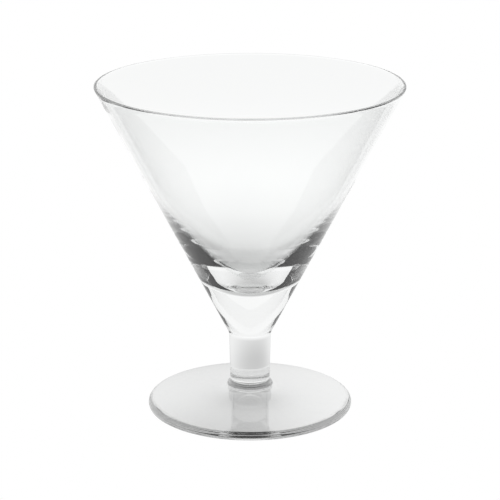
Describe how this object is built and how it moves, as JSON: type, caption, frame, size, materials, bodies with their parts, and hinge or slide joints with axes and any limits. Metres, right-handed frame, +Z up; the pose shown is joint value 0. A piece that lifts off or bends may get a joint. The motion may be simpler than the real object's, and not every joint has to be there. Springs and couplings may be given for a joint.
{
  "type": "martini glass",
  "caption": "Short-stemmed martini glass: conical bowl with a thick solid base, short solid column stem with a rounded collar, and a round crowned foot.",
  "frame": {"origin": "centre of the circle on which the foot rests, on the table's surface", "axes": "+Z up along the glass's axis of symmetry, from the foot to the rim"},
  "size_m": [0.11, 0.11, 0.1205],
  "materials": {
    "clear_glass": "fire-polished, clear and colourless with a faint grey-green in thick sections"
  },
  "bodies": {
    "root": {"bowl": "clear_glass", "stem": "clear_glass", "foot": "clear_glass"}
  },
  "joints": []
}
